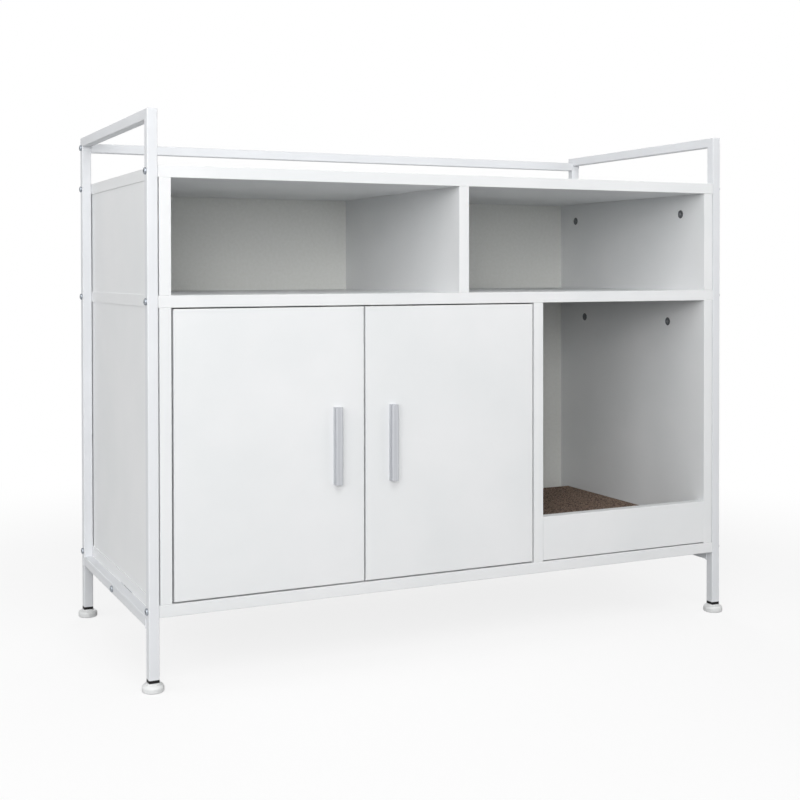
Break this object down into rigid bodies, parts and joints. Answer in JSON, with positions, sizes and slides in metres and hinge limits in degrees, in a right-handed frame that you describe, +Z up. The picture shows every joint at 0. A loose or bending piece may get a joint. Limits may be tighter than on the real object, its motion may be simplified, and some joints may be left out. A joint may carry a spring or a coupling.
{
  "type": "litter box cabinet",
  "caption": "White board cabinet between square steel side frames, with twin doors, a side entry with a sill, upper bays and guard rails.",
  "frame": {"origin": "on the floor, midway between the two side frames and midway between their front and rear posts", "axes": "+X to the viewer's right along the front, +Y from the front to the back, +Z up"},
  "size_m": [1.067, 0.471, 0.85],
  "materials": {
    "melamine_board": "white melamine foil on particle board, satin with a faint grain emboss",
    "back_hardboard": "white-faced hardboard, satin",
    "frame_enamel": "white powder coat on square steel tube, satin",
    "handle_aluminium": "satin silver anodised",
    "nickelled_steel": "nickel-plated pressed steel",
    "zinc_plated_steel": "zinc-plated steel",
    "cam_zinc": "die-cast zinc",
    "plug_plastic": "black polyethylene",
    "foot_nylon": "white nylon",
    "catch_plastic": "white plastic",
    "beech_dowel": "beech",
    "corrugated_board": "corrugated paper board on edge, matte"
  },
  "bodies": {
    "cabinet": {"back_screws": "zinc_plated_steel", "board_insert_nuts": "zinc_plated_steel", "bottom_board": "melamine_board", "cam_bolts": "zinc_plated_steel", "cams": "cam_zinc", "catch_screws": "zinc_plated_steel", "centre_beam": "frame_enamel", "door_catches": "catch_plastic", "dowels": "beech_dowel", "entry_sill": "melamine_board", "frame_bolts": "zinc_plated_steel", "hinge_plate_screws": "nickelled_steel", "left_front_post": "frame_enamel", "left_hinge_arms": "nickelled_steel", "left_hinge_plates": "nickelled_steel", "left_lower_panel": "melamine_board", "left_lower_rail": "frame_enamel", "left_rear_post": "frame_enamel", "left_top_rail": "frame_enamel", "left_upper_panel": "melamine_board", "lower_back_panel": "back_hardboard", "lower_divider": "melamine_board", "middle_shelf": "melamine_board", "panel_screws": "zinc_plated_steel", "post_plugs": "plug_plastic", "rail_end_nuts": "zinc_plated_steel", "rear_guard_rail": "frame_enamel", "right_front_post": "frame_enamel", "right_hinge_arms": "nickelled_steel", "right_hinge_plates": "nickelled_steel", "right_lower_panel": "melamine_board", "right_lower_rail": "frame_enamel", "right_rear_post": "frame_enamel", "right_top_rail": "frame_enamel", "right_upper_panel": "melamine_board", "top_board": "melamine_board", "upper_back_panel": "back_hardboard", "upper_divider": "melamine_board"},
    "left_door": {"left_door": "melamine_board", "left_handle": "handle_aluminium", "left_handle_screws": "zinc_plated_steel", "left_strike_plate": "nickelled_steel", "left_hinge_cups": "nickelled_steel", "left_hinge_pins": "nickelled_steel"},
    "right_door": {"right_door": "melamine_board", "right_handle": "handle_aluminium", "right_handle_screws": "zinc_plated_steel", "right_strike_plate": "nickelled_steel", "right_hinge_cups": "nickelled_steel", "right_hinge_pins": "nickelled_steel"},
    "scratching_pad": {"scratching_pad": "corrugated_board"},
    "foot_front_left": {"foot_pad_front_left": "foot_nylon", "foot_screw_front_left": "zinc_plated_steel"},
    "foot_front_right": {"foot_pad_front_right": "foot_nylon", "foot_screw_front_right": "zinc_plated_steel"},
    "foot_rear_left": {"foot_pad_rear_left": "foot_nylon", "foot_screw_rear_left": "zinc_plated_steel"},
    "foot_rear_right": {"foot_pad_rear_right": "foot_nylon", "foot_screw_rear_right": "zinc_plated_steel"}
  },
  "joints": [
    {"name": "left_door_hinge", "type": "hinge", "parent": "cabinet", "child": "left_door", "pos_m": [-0.4745, -0.21642, 0.34325], "axis": [0, 0, -1], "range_deg": [0, 105]},
    {"name": "right_door_hinge", "type": "hinge", "parent": "cabinet", "child": "right_door", "pos_m": [0.118, -0.21642, 0.34325], "axis": [0, 0, 1], "range_deg": [0, 105]},
    {"name": "scratching_pad_lift", "type": "slide", "parent": "cabinet", "child": "scratching_pad", "axis": [0, 0, 1], "range_m": [0, 0.2]},
    {"name": "front_left_foot_screw", "type": "slide", "parent": "cabinet", "child": "foot_front_left", "axis": [0, 0, -1], "range_m": [0, 0.01]},
    {"name": "front_right_foot_screw", "type": "slide", "parent": "cabinet", "child": "foot_front_right", "axis": [0, 0, -1], "range_m": [0, 0.01]},
    {"name": "rear_left_foot_screw", "type": "slide", "parent": "cabinet", "child": "foot_rear_left", "axis": [0, 0, -1], "range_m": [0, 0.01]},
    {"name": "rear_right_foot_screw", "type": "slide", "parent": "cabinet", "child": "foot_rear_right", "axis": [0, 0, -1], "range_m": [0, 0.01]}
  ]
}
